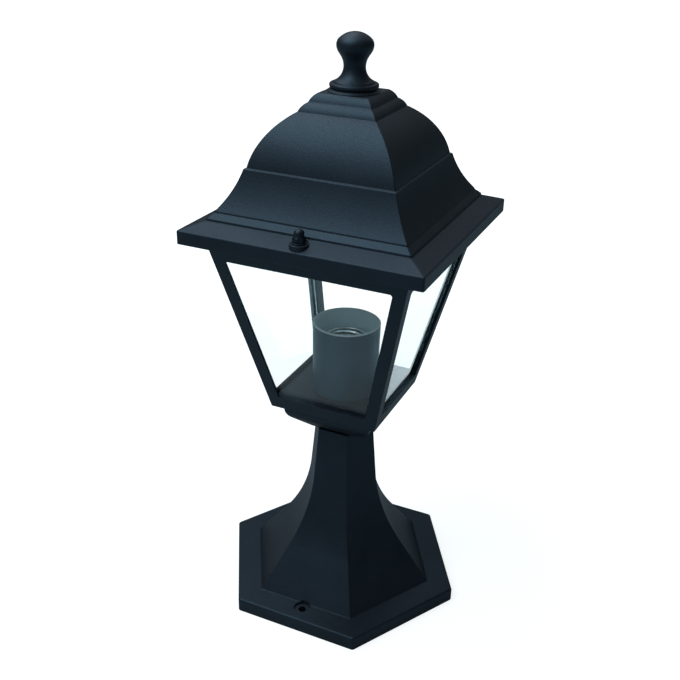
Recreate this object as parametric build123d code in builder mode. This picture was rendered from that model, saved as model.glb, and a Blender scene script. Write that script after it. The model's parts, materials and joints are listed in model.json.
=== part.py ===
from build123d import *
import os
from math import atan2, cos, degrees, hypot, radians

# Four-sided garden lantern on a hexagonal pedestal, in painted cast metal with clear panes.
# Lengths are in millimetres, +Z is up, the front faces -Y, and the origin is under the middle of the foot.

# Pedestal, its hexagons given from the axis to a corner
foot_corner = 90.5
foot_height = 10.3
foot_wall = 3.0
foot_plate = 4.0
foot_edge_round = 1.6
foot_corner_round = 2.2
pillar_height = 131.0
pillar_foot_corner = 71.0
pillar_bend_corner = 28.6
pillar_bend_height = 63.3
pillar_bend_radius = 112.0
pillar_neck_corner = 22.3
pillar_wall = 3.0
pillar_top_plate = 4.5

# Two fixing holes in the foot, front and rear
fixing_hole_radius = 2.75
fixing_boss_radius = 8.0
fixing_spot_radius = 6.0
fixing_spot_depth = 1.5
fixing_notch = 1.5
fixing_head_room = 6.0

# Cage casting: moulded boss, tray, four angle posts and a top flange, its squares given as half-widths
boss_height = 21.7
boss_foot_half = 17.3
boss_half = 31.9
boss_slope_height = 13.0
boss_round = 11.0
boss_wall = 3.5
tray_half = 38.2
tray_height = 7.3
tray_plate = 4.0
sill_rise = 2.0
cage_height = 125.8
cage_wall = 2.0
post_width = 8.5
rail_height = 13.8
window_round = 1.5
flange_thickness = 3.0
flange_width = 8.6
flange_round = 2.0

# Roof casting, its squares given as half-widths
eave_half = 80.0
eave_round = 1.2
skirt_wall = 2.8
skirt_gap = 0.8
skirt_drop = 4.4
fascia_height = 8.6
fascia_edge_round = 0.9
rim_width = 13.0
rim_rise = 4.6
bead_rise = 1.0
bead_lean = 0.3
bead_width = 3.6
bead_slope_rise = 3.6
flare_height = 24.6
flare_width = 12.9
flare_radius = 70.0
ledge_width = 1.4
ledge_rise = 0.6
dome_height = 32.1
dome_width = 22.8
dome_radius = 50.0
step_rise = 5.1
step_width = 4.3
step_radius = 10.0
step_tread = 0.5
step_tread_rise = 0.4
roof_wall = 2.8
roof_top_plate = 4.0
seat_pad_radius = 5.0

# Finial
finial_foot_radius = 16.4
finial_foot_edge = 0.5
finial_foot_height = 2.1
finial_groove_radius = 13.9
finial_flange_radius = 15.2
finial_flange_height = 3.0
finial_flange_round = 1.2
finial_cove_radius = 12.9
finial_cove_sweep = 65.0
finial_neck_radius = 6.8
finial_neck_height = 14.7
finial_waist_radius = 7.25
finial_cone_radius = 8.6
finial_cone_height = 20.7
finial_shoulder_radius = 10.3
finial_shoulder_height = 23.2
finial_knob_radius = 11.4
finial_knob_height = 27.3
finial_knob_round = 7.8
finial_side_round = 5.0
finial_height = 34.9

# Roof fixings: two studs through the rim, front and rear, with washers and cap nuts
stud_radius = 2.0
stud_head_radius = 3.2
stud_head_height = 1.5
stud_length = 14.0
stud_hole_gap = 0.4
spot_radius = 6.0
spot_rise = 1.2
washer_radius = 4.5
washer_thickness = 0.8
nut_across_flats = 7.0
nut_hex_height = 3.4
nut_dome_radius = 3.15
nut_dome_round = 2.5
nut_height = 8.0
nut_crown = 0.9

# Panes
glass_thickness = 2.0
pane_gap = 0.3
pane_lap = 9.0

# Screw lampholder with a plain skirt, standing on the tray
holder_height = 49.7
holder_top_radius = 23.2
holder_foot_radius = 22.6
holder_bore_radius = 20.9
holder_lip_chamfer = 0.6
holder_base_height = 8.0
holder_web = 3.0
holder_web_bore = 11.0
insert_height = 27.0
insert_floor = 4.0
insert_well_radius = 12.4
insert_well_depth = 4.6
shell_bore_radius = 13.3
shell_wall = 1.0
shell_lip_width = 2.2
shell_lip_height = 0.8
contact_width = 6.0
contact_thickness = 0.8
contact_rise = 3.0
contact_tail = 9.0
contact_foot_length = 4.5
contact_slope_width = 2.2
contact_reach = 4.5

# Threaded tube that clamps holder, cage and pillar together
tube_radius = 5.0
tube_bore_radius = 4.0
tube_end = 3.0
tube_hole_gap = 0.25
tube_washer_radius = 9.0
tube_washer_thickness = 1.2
tube_nut_across_flats = 14.0
tube_nut_height = 5.0

# Terminal bracket, block and leads inside the pillar
bracket_thickness = 1.2
bracket_width = 18.0
bracket_reach = 12.0
bracket_back = 9.0
bracket_drop = 61.0
bracket_round = 2.0
block_width = 22.0
block_depth = 10.0
block_height = 16.0
block_pole_pitch = 7.0
block_hole_radius = 1.5
block_hole_depth = 6.0
block_edge_round = 1.0
block_tail = 3.0
terminal_screw_radius = 1.3
terminal_screw_length = 3.0
terminal_screw_offset = 4.0
lead_radius = 1.2
lead_spacing = 3.2
lead_entry = 5.0
lead_rise = 8.0
lead_slope_rise = 12.0
small_screw_radius = 1.5
small_screw_head_radius = 2.8
small_screw_head_height = 1.8
small_screw_tail = 2.0
earth_screw_drop = 20.0
eyelet_radius = 3.2
eyelet_thickness = 1.0
eyelet_tongue = 4.0

# Clearances
thread_gap = 0.05
seat_gap = 0.1

# Heights and half-widths that follow from the sizes above
hexagon_flat = cos(radians(30))
pillar_foot_flat = pillar_foot_corner * hexagon_flat
fixing_offset = pillar_foot_flat + fixing_spot_radius - fixing_notch

tray_bottom = pillar_height + boss_height
tray_floor = tray_bottom + tray_height
sill_top = tray_floor + sill_rise
flange_bottom = tray_bottom + cage_height
flange_top = flange_bottom + flange_thickness
window_top = flange_bottom - rail_height
pane_top = window_top + pane_lap
flange_half = eave_half - skirt_wall - skirt_gap
cage_top_half = flange_half - flange_width
cage_slope = (cage_top_half - tray_half) / cage_height

eave_bottom = flange_top - skirt_drop
fascia_top = eave_bottom + fascia_height
rim_foot = fascia_top + rim_rise
bead_foot = rim_foot + bead_rise
bead_top = bead_foot + bead_slope_rise
flare_foot = bead_top + bead_rise
flare_top = flare_foot + flare_height
dome_foot = flare_top + ledge_rise
dome_top = dome_foot + dome_height
lower_step = dome_top + step_rise
upper_step_foot = lower_step + step_tread_rise
roof_top = upper_step_foot + step_rise
rim_foot_half = eave_half - rim_width
bead_foot_half = rim_foot_half - bead_lean
bead_top_half = bead_foot_half - bead_width
flare_foot_half = bead_top_half - bead_lean
flare_top_half = flare_foot_half - flare_width
dome_foot_half = flare_top_half - ledge_width
dome_top_half = dome_foot_half - dome_width
lower_step_half = dome_top_half - step_width
upper_step_foot_half = lower_step_half - step_tread
roof_top_half = upper_step_foot_half - step_width

stud_offset = rim_foot_half + spot_radius
spot_top = fascia_top + spot_rise + rim_rise * (eave_half - stud_offset) / rim_width
nut_seat = spot_top + washer_thickness
stud_top = flange_bottom + stud_length

holder_top = tray_floor + holder_height
web_foot = tray_floor + holder_base_height
insert_foot = web_foot + holder_web
insert_top = insert_foot + insert_height
contact_foot = insert_foot + insert_floor
shell_foot = contact_foot + insert_well_depth
shell_radius = shell_bore_radius + shell_wall

plate_bottom = pillar_height - pillar_top_plate
bracket_bottom = plate_bottom - bracket_thickness
tube_washer_bottom = bracket_bottom - tube_washer_thickness
tube_nut_bottom = tube_washer_bottom - tube_nut_height
tube_bottom = tube_nut_bottom - tube_end
leg_bottom = plate_bottom - bracket_drop
block_bottom = leg_bottom + block_tail
block_top = block_bottom + block_height
block_middle = (block_bottom + block_top) / 2
wire_y = bracket_reach - block_depth / 2
block_front = bracket_reach - block_depth
block_screw_x = block_pole_pitch / 2
earth_screw_z = bracket_bottom - earth_screw_drop

square_turns = (0, 90)
hexagon_turns = (30, 90, 150)


def cage_half(height):
    """Outer half-width of the cage's sloping sides at a height."""
    return tray_half + cage_slope * (height - tray_bottom)


def run_half(run, inset, height):
    """Half-width, at a height, of a straight run of the pillar's side moved inwards by inset."""
    (low_half, low), (high_half, high) = run
    slope = (high_half - low_half) / (high - low)
    return low_half + slope * (height - low) - inset * hypot(1, slope)


def pillar_profile(inset, bottom, top):
    """Upright section of the flared pillar between two heights, moved inwards by inset."""
    foot = (pillar_foot_flat, foot_height)
    bend = (pillar_bend_corner * hexagon_flat, pillar_bend_height)
    neck = (pillar_neck_corner * hexagon_flat, pillar_height)
    lower = (foot, bend)
    upper = (bend, neck)
    gap_below = run_half(lower, inset, 0) - run_half(upper, inset, 0)
    gap_above = run_half(lower, inset, pillar_height) - run_half(upper, inset, pillar_height)
    meet = pillar_height * gap_below / (gap_below - gap_above)
    with BuildSketch() as profile:
        with BuildLine():
            Polyline(
                (0, bottom),
                (run_half(lower, inset, bottom), bottom),
                (run_half(lower, inset, meet), meet),
                (run_half(upper, inset, top), top),
                (0, top),
            )
            mirror(about=Plane.YZ)
        make_face()
        fillet(profile.vertices().group_by(Axis.Y)[1], pillar_bend_radius + inset)
    return profile.sketch


def crossed(profile, reach, turns):
    """Solid common to one upright section pushed through the axis in several directions."""
    with BuildPart() as form:
        for turn in turns:
            with BuildSketch(Plane.XZ.rotated((0, 0, turn))):
                add(profile)
            first = turn == turns[0]
            extrude(amount=reach, both=True, mode=Mode.ADD if first else Mode.INTERSECT)
    return form.part


def finish(piece, name):
    """Names a finished piece and writes it out."""
    piece.part.label = name
    export_step(piece.part, f"parts/{name}.step")


os.makedirs("parts", exist_ok=True)

# Pillar: hollow flared hexagon on a hollow foot with a soft edge and two fixing bosses
pillar_form = crossed(pillar_profile(0, 0, pillar_height), foot_corner, hexagon_turns)
pillar_hollow = crossed(pillar_profile(pillar_wall, 0, plate_bottom), foot_corner, hexagon_turns)
fixing_places = [(0, -fixing_offset), (0, fixing_offset)]

with BuildPart() as foot_slab:
    with BuildSketch() as foot_outline:
        RegularPolygon(foot_corner, 6)
        fillet(foot_outline.vertices(), foot_corner_round)
    extrude(amount=foot_height)
    fillet(foot_slab.faces().sort_by(Axis.Z)[-1].edges(), foot_edge_round)
    with BuildSketch():
        RegularPolygon(foot_corner - foot_wall / hexagon_flat, 6)
    extrude(amount=foot_height - foot_plate, mode=Mode.SUBTRACT)

with BuildPart() as pillar:
    add(foot_slab.part)
    add(pillar_form)
    add(pillar_hollow, mode=Mode.SUBTRACT)
    with BuildSketch():
        RegularPolygon(foot_corner - foot_wall / hexagon_flat, 6)
    extrude(amount=foot_height - foot_plate, mode=Mode.SUBTRACT)
    with BuildSketch():
        with Locations(*fixing_places):
            Circle(fixing_boss_radius)
    extrude(amount=foot_height)
    with BuildSketch(Plane.XY.offset(foot_height - fixing_spot_depth)):
        with Locations(*fixing_places):
            Circle(fixing_spot_radius)
    extrude(amount=fixing_spot_depth + fixing_head_room, mode=Mode.SUBTRACT)
    with BuildSketch():
        with Locations(*fixing_places):
            Circle(fixing_hole_radius)
    extrude(amount=foot_height, mode=Mode.SUBTRACT)
    with BuildSketch(Plane.XY.offset(plate_bottom)):
        Circle(tube_radius + tube_hole_gap)
    extrude(amount=pillar_top_plate, mode=Mode.SUBTRACT)
finish(pillar, "pillar")

# Cage: sloping square funnel with four windows, a flange on top and the moulded boss below its tray
with BuildSketch() as boss_profile:
    with BuildLine():
        Polyline(
            (0, pillar_height),
            (boss_foot_half, pillar_height),
            (boss_half, pillar_height + boss_slope_height),
            (boss_half, tray_bottom),
            (0, tray_bottom),
        )
        mirror(about=Plane.YZ)
    make_face()
    fillet(boss_profile.vertices().group_by(Axis.Y)[1], boss_round)

with BuildSketch() as cage_profile:
    with BuildLine():
        Polyline(
            (0, tray_bottom),
            (tray_half, tray_bottom),
            (cage_top_half, flange_bottom),
            (0, flange_bottom),
        )
        mirror(about=Plane.YZ)
    make_face()

with BuildSketch() as cage_hollow_profile:
    with BuildLine():
        Polyline(
            (0, tray_floor),
            (cage_half(tray_floor) - cage_wall, tray_floor),
            (cage_half(flange_top) - cage_wall, flange_top),
            (0, flange_top),
        )
        mirror(about=Plane.YZ)
    make_face()

with BuildSketch() as window_profile:
    with BuildLine():
        Polyline(
            (0, sill_top),
            (cage_half(sill_top) - post_width, sill_top),
            (cage_half(window_top) - post_width, window_top),
            (0, window_top),
        )
        mirror(about=Plane.YZ)
    make_face()
    fillet(window_profile.vertices(), window_round)

boss_form = crossed(boss_profile.sketch, tray_half, square_turns)
cage_form = crossed(cage_profile.sketch, cage_top_half, square_turns)
cage_hollow = crossed(cage_hollow_profile.sketch, eave_half, square_turns)
stud_places = [(0, -stud_offset), (0, stud_offset)]

with BuildPart() as cage:
    add(cage_form)
    with BuildSketch(Plane.XY.offset(flange_bottom)):
        RectangleRounded(2 * flange_half, 2 * flange_half, flange_round)
    extrude(amount=flange_thickness)
    add(cage_hollow, mode=Mode.SUBTRACT)
    for turn in square_turns:
        with BuildSketch(Plane.XZ.rotated((0, 0, turn))):
            add(window_profile.sketch)
        extrude(amount=eave_half, both=True, mode=Mode.SUBTRACT)
    add(boss_form)
    with BuildSketch(Plane.XY.offset(pillar_height)):
        Rectangle(2 * (boss_foot_half - boss_wall), 2 * (boss_foot_half - boss_wall))
    extrude(amount=boss_height + tray_height - tray_plate, mode=Mode.SUBTRACT)
    with BuildSketch(Plane.XY.offset(tray_floor - tray_plate)):
        Circle(tube_radius + tube_hole_gap)
    extrude(amount=tray_plate, mode=Mode.SUBTRACT)
    with BuildSketch(Plane.XY.offset(flange_bottom)):
        with Locations(*stud_places):
            Circle(stud_radius + thread_gap)
    extrude(amount=flange_thickness, mode=Mode.SUBTRACT)
finish(cage, "cage")

# Panes: four equal trapezoids that lean on the posts and stand on the tray behind its sill
pane_run = glass_thickness * hypot(1, cage_slope)


def pane_half(height):
    """Distance of a pane's outer face from the axis at a height."""
    return cage_half(height) - cage_wall - pane_gap


with BuildPart() as pane_form:
    with BuildSketch(Plane.YZ):
        Polygon(
            (-pane_half(tray_floor), tray_floor),
            (-pane_half(pane_top), pane_top),
            (pane_run - pane_half(pane_top), pane_top),
            (pane_run - pane_half(tray_floor), tray_floor),
            align=None,
        )
    extrude(amount=eave_half, both=True)
    with BuildSketch(Plane.XZ):
        pane_foot_half = pane_half(tray_floor) - pane_run - pane_gap
        pane_top_half = pane_half(pane_top) - pane_run - pane_gap
        Polygon(
            (-pane_foot_half, tray_floor),
            (pane_foot_half, tray_floor),
            (pane_top_half, pane_top),
            (-pane_top_half, pane_top),
            align=None,
        )
    extrude(amount=eave_half, both=True, mode=Mode.INTERSECT)

for side, name in enumerate(("front_pane", "right_pane", "rear_pane", "left_pane")):
    with BuildPart() as pane:
        add(pane_form.part, rotation=(0, 0, 90 * side))
    finish(pane, name)

# Roof studs: pressed up through the flange, with flat heads below it
with BuildPart() as roof_studs:
    with BuildSketch(Plane.XY.offset(flange_bottom - stud_head_height)):
        with Locations(*stud_places):
            Circle(stud_head_radius)
    extrude(amount=stud_head_height)
    with BuildSketch(Plane.XY.offset(flange_bottom)):
        with Locations(*stud_places):
            Circle(stud_radius)
    extrude(amount=stud_length)
finish(roof_studs, "roof_studs")

# Roof: moulded ogee shell with a stepped top, a mid ledge, a double bead and a flat-edged rim
with BuildSketch() as roof_profile:
    with BuildLine():
        eave_line = Polyline(
            (0, eave_bottom),
            (eave_half, eave_bottom),
            (eave_half, fascia_top),
            (rim_foot_half, rim_foot),
            (bead_foot_half, bead_foot),
            (bead_top_half, bead_top),
            (flare_foot_half, flare_foot),
        )
        flare = RadiusArc(eave_line @ 1, (flare_top_half, flare_top), flare_radius)
        ledge = Line(flare @ 1, (dome_foot_half, dome_foot))
        dome = RadiusArc(ledge @ 1, (dome_top_half, dome_top), -dome_radius)
        lower_ovolo = RadiusArc(dome @ 1, (lower_step_half, lower_step), -step_radius)
        tread = Line(lower_ovolo @ 1, (upper_step_foot_half, upper_step_foot))
        upper_ovolo = RadiusArc(tread @ 1, (roof_top_half, roof_top), -step_radius)
        Line(upper_ovolo @ 1, (0, roof_top))
        mirror(about=Plane.YZ)
    make_face()
    fascia_corners = roof_profile.vertices().group_by(Axis.X)
    fillet(fascia_corners[0] + fascia_corners[-1], fascia_edge_round)

with BuildSketch() as roof_hollow_profile:
    with BuildLine():
        skirt_line = Polyline(
            (0, eave_bottom),
            (eave_half - skirt_wall, eave_bottom),
            (eave_half - skirt_wall, fascia_top - roof_wall),
            (flare_foot_half - roof_wall, rim_foot - roof_wall),
        )
        inner_flare = RadiusArc(
            skirt_line @ 1,
            (dome_foot_half - roof_wall, flare_top),
            flare_radius + roof_wall,
        )
        inner_dome = RadiusArc(
            inner_flare @ 1,
            (dome_top_half - roof_wall, dome_top - roof_wall),
            roof_wall - dome_radius,
        )
        Polyline(
            inner_dome @ 1,
            (roof_top_half - roof_wall, dome_top - roof_wall),
            (roof_top_half - roof_wall, roof_top - roof_top_plate),
            (0, roof_top - roof_top_plate),
        )
        mirror(about=Plane.YZ)
    make_face()

roof_form = crossed(roof_profile.sketch, eave_half, square_turns)
roof_hollow = crossed(roof_hollow_profile.sketch, eave_half, square_turns)
pad_places = stud_places + [(-stud_offset, 0), (stud_offset, 0)]

with BuildPart() as roof:
    add(roof_form)
    with BuildSketch(Plane.XY.offset(eave_bottom)):
        RectangleRounded(2 * eave_half, 2 * eave_half, eave_round)
    extrude(amount=roof_top - eave_bottom, mode=Mode.INTERSECT)
    add(roof_hollow, mode=Mode.SUBTRACT)
    with BuildSketch(Plane.XY.offset(flange_top)):
        with Locations(*pad_places):
            Circle(seat_pad_radius)
    extrude(amount=fascia_top - flange_top)
    with BuildSketch(Plane.XY.offset(fascia_top - roof_wall)):
        with Locations(*stud_places):
            Circle(spot_radius)
    extrude(amount=spot_top - fascia_top + roof_wall)
    with BuildSketch(Plane.XY.offset(spot_top)):
        with Locations(*stud_places):
            Circle(spot_radius)
    extrude(amount=bead_foot - spot_top, mode=Mode.SUBTRACT)
    with BuildSketch(Plane.XY.offset(flange_top)):
        with Locations(*stud_places):
            Circle(stud_radius + stud_hole_gap)
    extrude(amount=spot_top - flange_top, mode=Mode.SUBTRACT)
    with BuildSketch(Plane.XY.offset(roof_top - roof_top_plate)):
        Circle(stud_radius + stud_hole_gap)
    extrude(amount=roof_top_plate, mode=Mode.SUBTRACT)
finish(roof, "roof")

# Finial: turned knob on a flange and a flared foot, held by a screw from inside the roof
finial_screw_length = finial_neck_height
flange_foot = roof_top + finial_foot_height
flange_crown = flange_foot + finial_flange_height
crown_height = finial_height - finial_knob_height
side_centre = finial_knob_radius - finial_side_round
crown_round = (side_centre**2 + crown_height**2 - finial_side_round**2) / (2 * (crown_height - finial_side_round))
crown_centre = roof_top + finial_height - crown_round
crown_angle = degrees(atan2(crown_round - crown_height, side_centre))
with BuildPart() as finial:
    with BuildSketch(Plane.XZ) as finial_profile:
        with BuildLine():
            finial_base = Polyline(
                (0, roof_top),
                (finial_foot_radius, roof_top),
                (finial_foot_radius, roof_top + finial_foot_edge),
                (finial_groove_radius, flange_foot),
                (finial_flange_radius, flange_foot),
                (finial_flange_radius, flange_crown),
                (finial_cove_radius, flange_crown),
            )
            cove = JernArc(
                (finial_neck_radius, roof_top + finial_neck_height),
                (0, -1),
                roof_top + finial_neck_height - flange_crown,
                finial_cove_sweep,
            )
            Line(finial_base @ 1, cove @ 1)
            neck = ThreePointArc(
                cove @ 0,
                (finial_waist_radius, roof_top + (finial_neck_height + finial_cone_height) / 2),
                (finial_cone_radius, roof_top + finial_cone_height),
            )
            cone = Line(neck @ 1, (finial_shoulder_radius, roof_top + finial_shoulder_height))
            knob = RadiusArc(cone @ 1, (finial_knob_radius, roof_top + finial_knob_height), -finial_knob_round)
            crown = CenterArc((0, crown_centre), crown_round, crown_angle, 90 - crown_angle)
            RadiusArc(knob @ 1, crown @ 0, -finial_side_round)
            Line((0, roof_top + finial_height), (0, roof_top))
        make_face()
        lip_corners = finial_profile.vertices().filter_by(
            lambda corner: abs(corner.X - finial_flange_radius) < thread_gap
        )
        fillet(lip_corners, finial_flange_round)
    revolve(axis=Axis.Z)
    with BuildSketch(Plane.XY.offset(roof_top)):
        Circle(stud_radius + thread_gap)
    extrude(amount=finial_screw_length, mode=Mode.SUBTRACT)
finish(finial, "finial")

finial_screw_seat = roof_top - roof_top_plate
with BuildPart() as finial_screw:
    with BuildSketch(Plane.XY.offset(finial_screw_seat - stud_head_height)):
        Circle(stud_head_radius)
    extrude(amount=stud_head_height)
    with BuildSketch(Plane.XY.offset(finial_screw_seat)):
        Circle(stud_radius)
    extrude(amount=roof_top_plate + finial_screw_length - finial_foot_height)
finish(finial_screw, "finial_screw")

# Washers and cap nuts on the rim
with BuildPart() as nut_washers:
    with BuildSketch(Plane.XY.offset(spot_top)):
        with Locations(*stud_places):
            Circle(washer_radius)
            Circle(stud_radius + stud_hole_gap, mode=Mode.SUBTRACT)
    extrude(amount=washer_thickness)
finish(nut_washers, "nut_washers")

nut_bore_top = stud_top + nut_crown
for side, name in ((-1, "front_cap_nut"), (1, "rear_cap_nut")):
    with BuildPart() as cap_nut:
        with BuildSketch(Plane.XY.offset(nut_seat)):
            with Locations((0, side * stud_offset)):
                RegularPolygon(nut_across_flats / 2, 6, major_radius=False)
        extrude(amount=nut_hex_height)
        with BuildSketch(Plane.XY.offset(nut_seat + nut_hex_height)):
            with Locations((0, side * stud_offset)):
                Circle(nut_dome_radius)
        extrude(amount=nut_height - nut_hex_height)
        fillet(cap_nut.faces().sort_by(Axis.Z)[-1].edges(), nut_dome_round)
        with BuildSketch(Plane.XY.offset(nut_seat)):
            with Locations((0, side * stud_offset)):
                Circle(stud_radius + thread_gap)
        extrude(amount=nut_bore_top - nut_seat, mode=Mode.SUBTRACT)
    finish(cap_nut, name)

# Lampholder: base, skirted body, insert, screw shell and centre contact
with BuildPart() as holder_base:
    with BuildSketch(Plane.XY.offset(tray_floor)):
        Circle(holder_bore_radius - seat_gap)
        Circle(tube_radius + thread_gap, mode=Mode.SUBTRACT)
    extrude(amount=holder_base_height)
finish(holder_base, "holder_base")

with BuildPart() as holder_body:
    with BuildSketch(Plane.XZ):
        Polygon(
            (holder_bore_radius, tray_floor),
            (holder_foot_radius, tray_floor),
            (holder_top_radius, holder_top),
            (holder_bore_radius, holder_top),
            align=None,
        )
        with Locations((holder_web_bore, web_foot)):
            Rectangle(holder_bore_radius - holder_web_bore, holder_web, align=(Align.MIN, Align.MIN))
    revolve(axis=Axis.Z)
    rim = holder_body.faces().sort_by(Axis.Z)[-1]
    chamfer(rim.edges(), holder_lip_chamfer)
finish(holder_body, "holder_body")

with BuildPart() as holder_insert:
    with BuildSketch(Plane.XY.offset(insert_foot)):
        Circle(holder_bore_radius - seat_gap)
    extrude(amount=insert_height)
    with BuildSketch(Plane.XY.offset(shell_foot)):
        Circle(shell_radius + seat_gap)
    extrude(amount=insert_top - shell_foot, mode=Mode.SUBTRACT)
    with BuildSketch(Plane.XY.offset(contact_foot)):
        Circle(insert_well_radius)
    extrude(amount=insert_well_depth, mode=Mode.SUBTRACT)
finish(holder_insert, "holder_insert")

with BuildPart() as screw_shell:
    with BuildSketch(Plane.XY.offset(shell_foot)):
        Circle(shell_radius)
    extrude(amount=insert_top - shell_foot)
    with BuildSketch(Plane.XY.offset(insert_top)):
        Circle(shell_radius + shell_lip_width)
    extrude(amount=shell_lip_height)
    with BuildSketch(Plane.XY.offset(shell_foot)):
        Circle(shell_bore_radius)
    extrude(amount=insert_top + shell_lip_height - shell_foot, mode=Mode.SUBTRACT)
finish(screw_shell, "screw_shell")

with BuildPart() as centre_contact:
    with BuildSketch(Plane.XZ):
        with BuildLine():
            spring = Polyline(
                (-contact_tail, contact_foot),
                (contact_foot_length - contact_tail, contact_foot),
                (contact_foot_length + contact_slope_width - contact_tail, contact_foot + contact_rise),
                (contact_reach, contact_foot + contact_rise),
            )
            offset(spring, amount=contact_thickness, side=Side.LEFT)
        make_face()
    extrude(amount=contact_width / 2, both=True)
finish(centre_contact, "centre_contact")

# Threaded tube with its washer and nut below the pillar's top plate
with BuildPart() as threaded_tube:
    with BuildSketch(Plane.XY.offset(tube_bottom)):
        Circle(tube_radius)
        Circle(tube_bore_radius, mode=Mode.SUBTRACT)
    extrude(amount=web_foot - tube_bottom)
finish(threaded_tube, "threaded_tube")

with BuildPart() as tube_washer:
    with BuildSketch(Plane.XY.offset(tube_washer_bottom)):
        Circle(tube_washer_radius)
        Circle(tube_radius + tube_hole_gap, mode=Mode.SUBTRACT)
    extrude(amount=tube_washer_thickness)
finish(tube_washer, "tube_washer")

with BuildPart() as tube_nut:
    with BuildSketch(Plane.XY.offset(tube_nut_bottom)):
        RegularPolygon(tube_nut_across_flats / 2, 6, major_radius=False)
        Circle(tube_radius + thread_gap, mode=Mode.SUBTRACT)
    extrude(amount=tube_nut_height)
finish(tube_nut, "tube_nut")

# Terminal bracket: bent strip clamped under the top plate, its leg hanging behind the leads
leg_outer = bracket_reach + bracket_thickness
with BuildPart() as terminal_bracket:
    with BuildSketch(Plane.YZ) as bracket_profile:
        with BuildLine():
            Polyline(
                (-bracket_back, plate_bottom),
                (leg_outer, plate_bottom),
                (leg_outer, leg_bottom),
                (bracket_reach, leg_bottom),
                (bracket_reach, bracket_bottom),
                (-bracket_back, bracket_bottom),
                close=True,
            )
        make_face()
        outer_bend = bracket_profile.vertices().sort_by_distance((leg_outer, plate_bottom))[0]
        fillet(outer_bend, bracket_round)
    extrude(amount=bracket_width / 2, both=True)
    with BuildSketch(Plane.XY.offset(bracket_bottom)):
        Circle(tube_radius + tube_hole_gap)
    extrude(amount=bracket_thickness, mode=Mode.SUBTRACT)
    with BuildSketch(Plane.XZ.offset(-leg_outer)):
        with Locations((0, earth_screw_z), (block_screw_x, block_middle)):
            Circle(small_screw_radius + thread_gap)
    extrude(amount=bracket_thickness, mode=Mode.SUBTRACT)
finish(terminal_bracket, "terminal_bracket")

# Terminal block: three poles with wire holes at top and bottom and screw wells in front
pole_places = [-block_pole_pitch, 0, block_pole_pitch]
well_places = [
    (pole, block_middle + offset_z)
    for pole in pole_places
    for offset_z in (-terminal_screw_offset, terminal_screw_offset)
]
with BuildPart() as terminal_block:
    with BuildSketch(Plane.XY.offset(block_bottom)):
        with Locations((0, wire_y)):
            RectangleRounded(block_width, block_depth, block_edge_round)
    extrude(amount=block_height)
    with BuildSketch(Plane.XY.offset(block_top - block_hole_depth)):
        with Locations(*[(pole, wire_y) for pole in pole_places]):
            Circle(block_hole_radius)
    extrude(amount=block_hole_depth, mode=Mode.SUBTRACT)
    with BuildSketch(Plane.XY.offset(block_bottom)):
        with Locations(*[(pole, wire_y) for pole in pole_places]):
            Circle(block_hole_radius)
    extrude(amount=block_hole_depth, mode=Mode.SUBTRACT)
    with BuildSketch(Plane.XZ.offset(-block_front)):
        with Locations(*well_places):
            Circle(terminal_screw_radius + thread_gap)
    extrude(amount=-terminal_screw_length, mode=Mode.SUBTRACT)
    with BuildSketch(Plane.XZ.offset(-block_front)):
        with Locations((block_screw_x, block_middle)):
            Circle(small_screw_radius + seat_gap)
    extrude(amount=-block_depth, mode=Mode.SUBTRACT)
finish(terminal_block, "terminal_block")

with BuildPart() as terminal_screws:
    with BuildSketch(Plane.XZ.offset(-block_front)):
        with Locations(*well_places):
            Circle(terminal_screw_radius)
    extrude(amount=-terminal_screw_length)
finish(terminal_screws, "terminal_screws")

with BuildPart() as block_screw:
    with BuildSketch(Plane.XZ.offset(-block_front)):
        with Locations((block_screw_x, block_middle)):
            Circle(small_screw_head_radius)
    extrude(amount=small_screw_head_height)
    with BuildSketch(Plane.XZ.offset(-block_front)):
        with Locations((block_screw_x, block_middle)):
            Circle(small_screw_radius)
    extrude(amount=-(block_depth + bracket_thickness + small_screw_tail))
finish(block_screw, "block_screw")

# Leads: live and neutral climb through the tube to the holder, earth ends in an eyelet on the bracket
for side, name in ((-1, "live_lead"), (1, "neutral_lead")):
    with BuildPart() as lead:
        with BuildLine() as route:
            FilletPolyline(
                (side * block_pole_pitch, wire_y, block_top - lead_entry),
                (side * block_pole_pitch, wire_y, block_top + lead_rise),
                (side * lead_spacing / 2, 0, block_top + lead_rise + lead_slope_rise),
                (side * lead_spacing / 2, 0, insert_foot),
                radius=lead_rise,
            )
        with BuildSketch(Plane(route.line @ 0, z_dir=route.line % 0)):
            Circle(lead_radius)
        sweep()
    finish(lead, name)

eyelet_y = bracket_reach - eyelet_thickness
with BuildPart() as earth_lead:
    with BuildLine() as earth_route:
        FilletPolyline(
            (0, wire_y, block_top - lead_entry),
            (0, wire_y, block_top + lead_rise),
            (0, bracket_reach - lead_radius, earth_screw_z - eyelet_radius - eyelet_tongue),
            (0, bracket_reach - lead_radius, earth_screw_z - eyelet_radius),
            radius=eyelet_tongue,
        )
    with BuildSketch(Plane(earth_route.line @ 0, z_dir=earth_route.line % 0)):
        Circle(lead_radius)
    sweep()
    with BuildSketch(Plane.XZ.offset(-bracket_reach)):
        with Locations((0, earth_screw_z)):
            Circle(eyelet_radius)
            Rectangle(2 * lead_radius, eyelet_radius + eyelet_tongue, align=(Align.CENTER, Align.MAX))
    extrude(amount=eyelet_thickness)
    with BuildSketch(Plane.XZ.offset(-bracket_reach)):
        with Locations((0, earth_screw_z)):
            Circle(small_screw_radius + seat_gap)
    extrude(amount=2 * lead_radius, mode=Mode.SUBTRACT)
finish(earth_lead, "earth_lead")

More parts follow.
